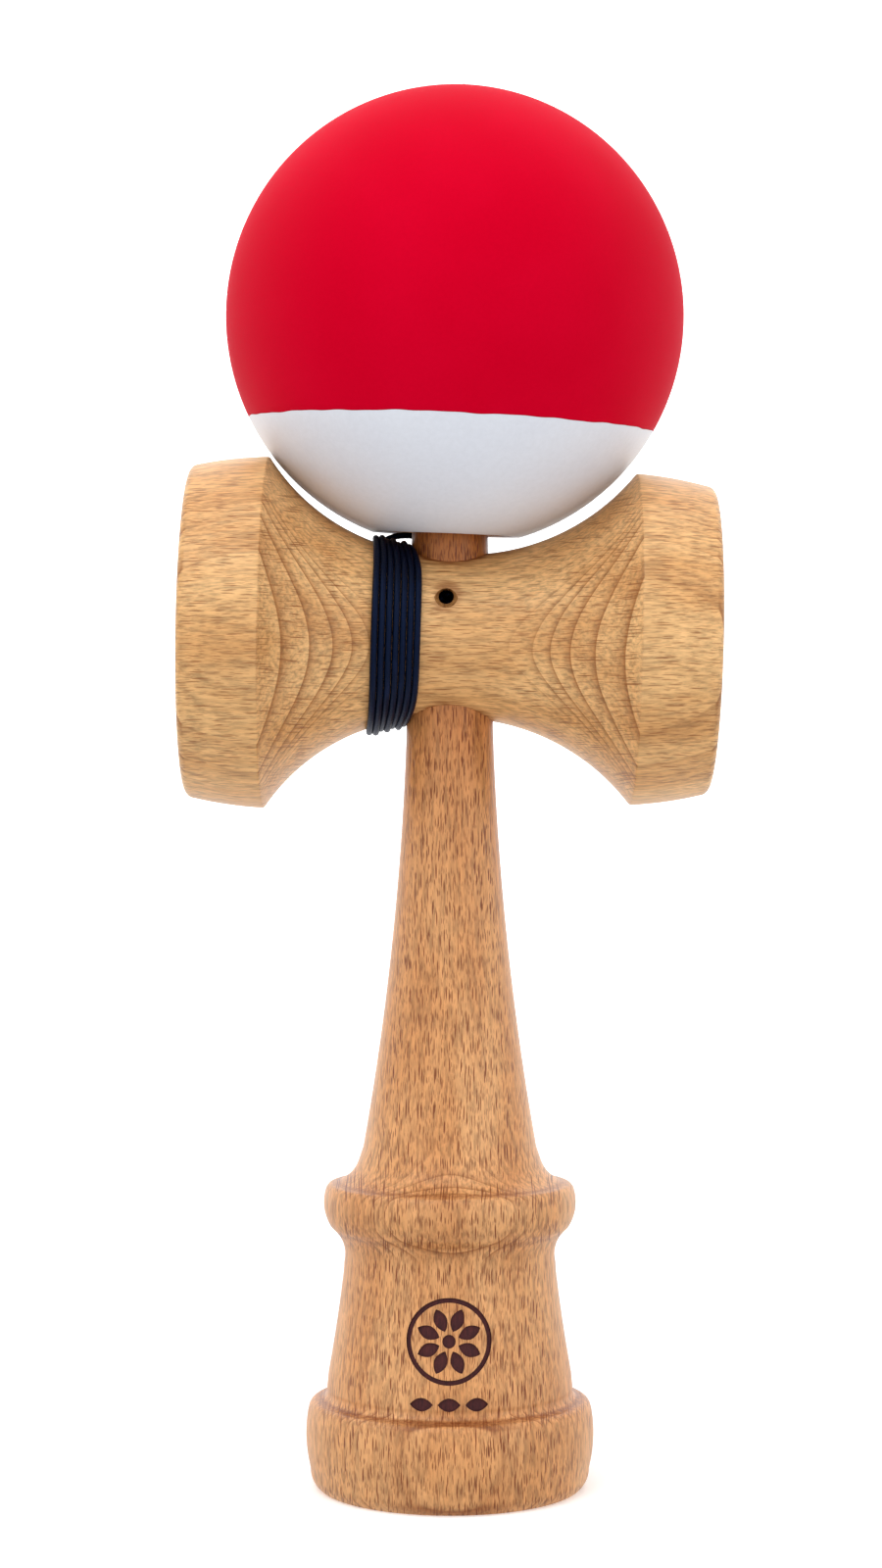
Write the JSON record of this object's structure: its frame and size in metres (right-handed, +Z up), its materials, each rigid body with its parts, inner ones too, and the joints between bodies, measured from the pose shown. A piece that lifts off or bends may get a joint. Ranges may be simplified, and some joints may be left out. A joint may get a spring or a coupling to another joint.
{
  "type": "kendama",
  "caption": "Turned wooden kendama: spiked handle, crosspiece with two cups, painted ball sitting on the spike, cord wound round the crosspiece.",
  "frame": {"origin": "middle of the base's rim, on the surface the kendama stands on", "axes": "+Z up the handle towards the spike, +X towards the small cup, -X towards the big cup, -Y the front"},
  "size_m": [0.0692, 0.061, 0.1841],
  "materials": {
    "handle_wood": "oiled beech, fine turned surface",
    "crosspiece_wood": "oiled beech, fine turned surface",
    "ball_wood": "bare beech inside the bores",
    "red_paint": "soft matte rubbery paint",
    "white_paint": "satin paint",
    "bead_wood": "plain turned bead",
    "cord": "fine braided navy cord"
  },
  "bodies": {
    "handle": {"handle": "handle_wood", "crosspiece": "crosspiece_wood", "handle_knot": "cord", "cord_winding": "cord", "cord_lead": "cord"},
    "bead": {"bead": "bead_wood", "bead_knot": "cord", "cord_run": "cord"},
    "ball": {"ball_core": "ball_wood", "ball_red_coat": "red_paint", "ball_white_coat": "white_paint"}
  },
  "joints": [
    {"name": "ball_lift", "type": "slide", "parent": "handle", "child": "bead", "axis": [0, 0, 1], "range_m": [0, 0.045]},
    {"name": "ball_spin", "type": "hinge", "parent": "bead", "child": "ball", "pos_m": [0.00065, 0, 0.15315], "axis": [0.0383, -0.061, 0.9974], "continuous": true}
  ]
}
